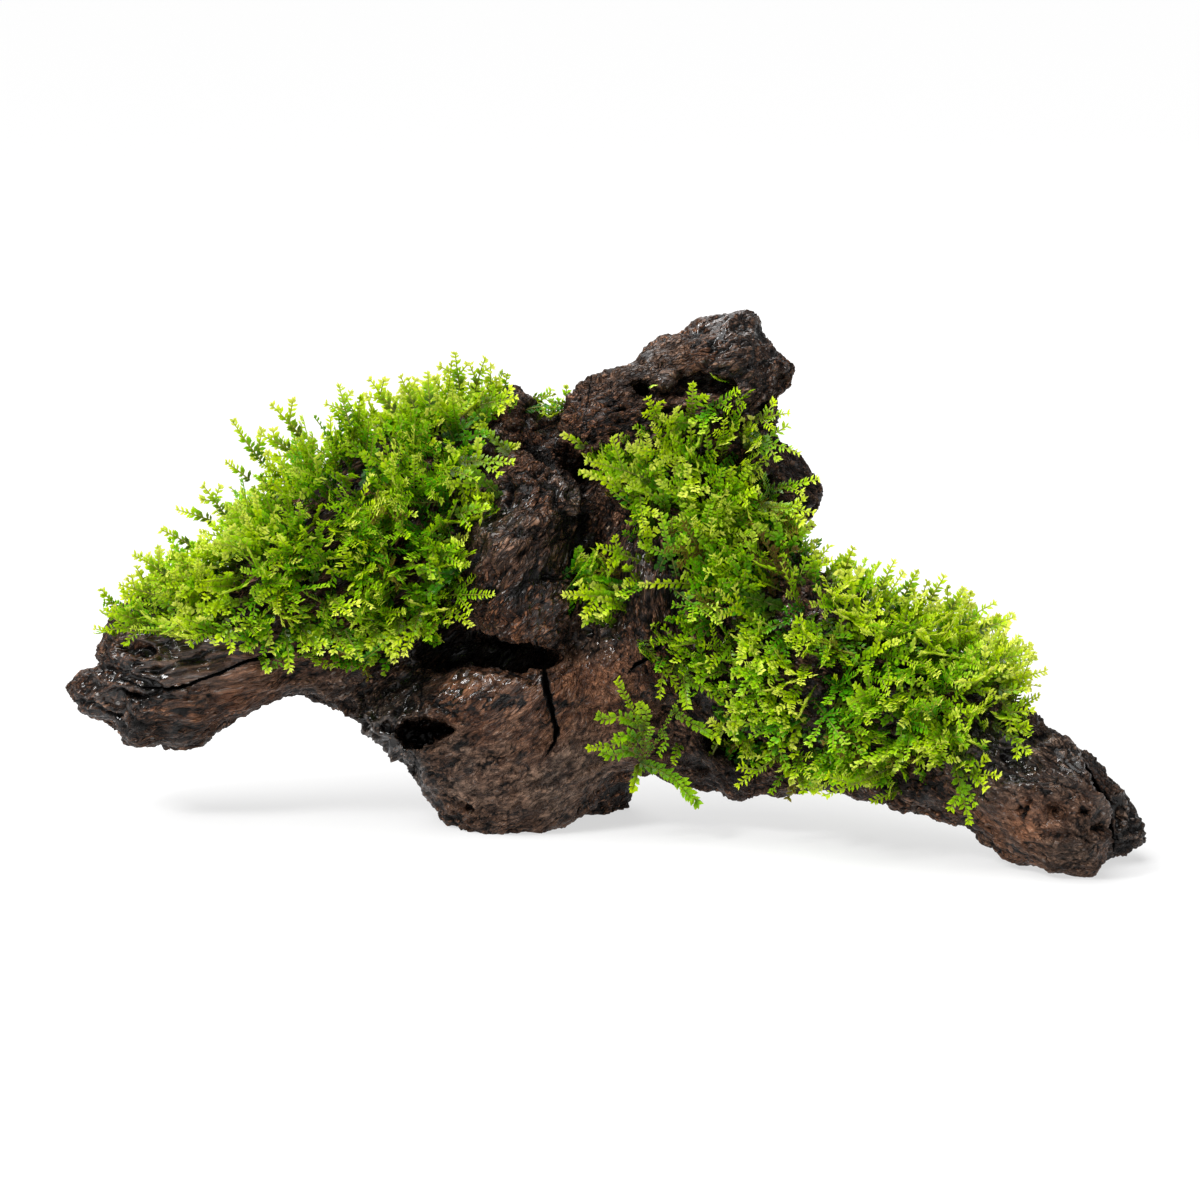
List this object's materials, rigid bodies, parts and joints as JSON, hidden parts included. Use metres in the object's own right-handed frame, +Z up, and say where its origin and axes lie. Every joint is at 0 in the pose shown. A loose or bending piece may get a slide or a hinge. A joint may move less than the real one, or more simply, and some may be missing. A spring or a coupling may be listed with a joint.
{
  "type": "moss on driftwood",
  "caption": "Dark branching driftwood standing on its foot and one limb tip, with cushions of leafy green aquarium moss, for planted tanks.",
  "frame": {"origin": "on the surface the wood stands on, under the middle of the whole object's box", "axes": "+Z up, +X from the swirled left end to the two-lobed right tip, +Y away from the viewer of the mossy side"},
  "size_m": [0.1986, 0.0718, 0.0946],
  "materials": {
    "wet_wood": "satin",
    "moss": "satin"
  },
  "bodies": {
    "root": {"trunk": "wet_wood", "left_limb": "wet_wood", "right_limb": "wet_wood", "top_stump": "wet_wood", "moss_left": "moss", "moss_right": "moss", "moss_sprig": "moss", "moss_rear": "moss"}
  },
  "joints": []
}
